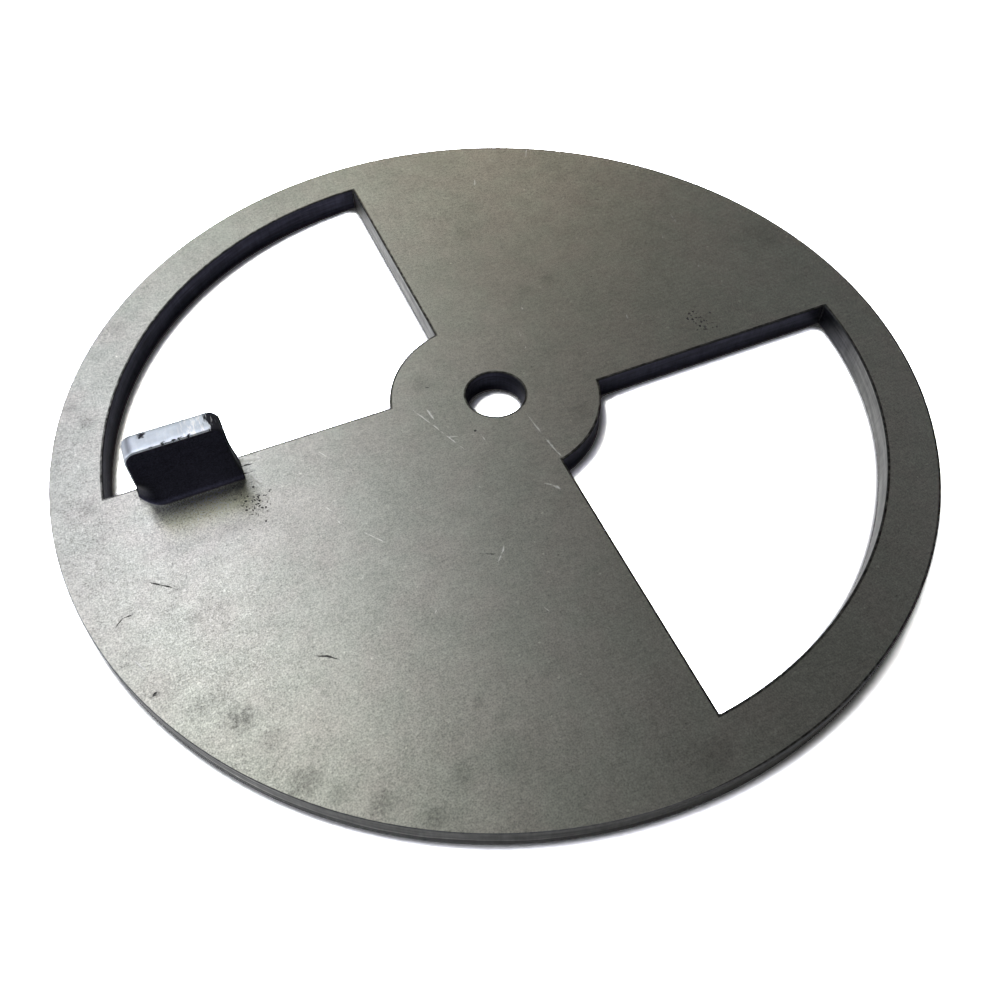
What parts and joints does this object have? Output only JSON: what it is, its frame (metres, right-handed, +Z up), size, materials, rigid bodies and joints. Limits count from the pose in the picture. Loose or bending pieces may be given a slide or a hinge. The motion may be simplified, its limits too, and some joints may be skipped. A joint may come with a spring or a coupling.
{
  "type": "pinwheel damper plate",
  "caption": "Flat round pinwheel damper plate with a pivot bolt hole, facing sector openings and an integral folded finger tab.",
  "frame": {"origin": "centre of the pivot bore on the plate's under face", "axes": "+Z up along the bore, out of the face that the tab stands on; +X and +Y along the straight edges of the openings; the tab stands on the -X side and its front faces -Y"},
  "size_m": [0.1524, 0.1524, 0.0162],
  "materials": {
    "mill_steel": "raw mill finish on cut plate, dull grey with fine mottling, handling scratches and dark cut walls"
  },
  "bodies": {
    "root": {"damper_plate": "mill_steel"}
  },
  "joints": []
}
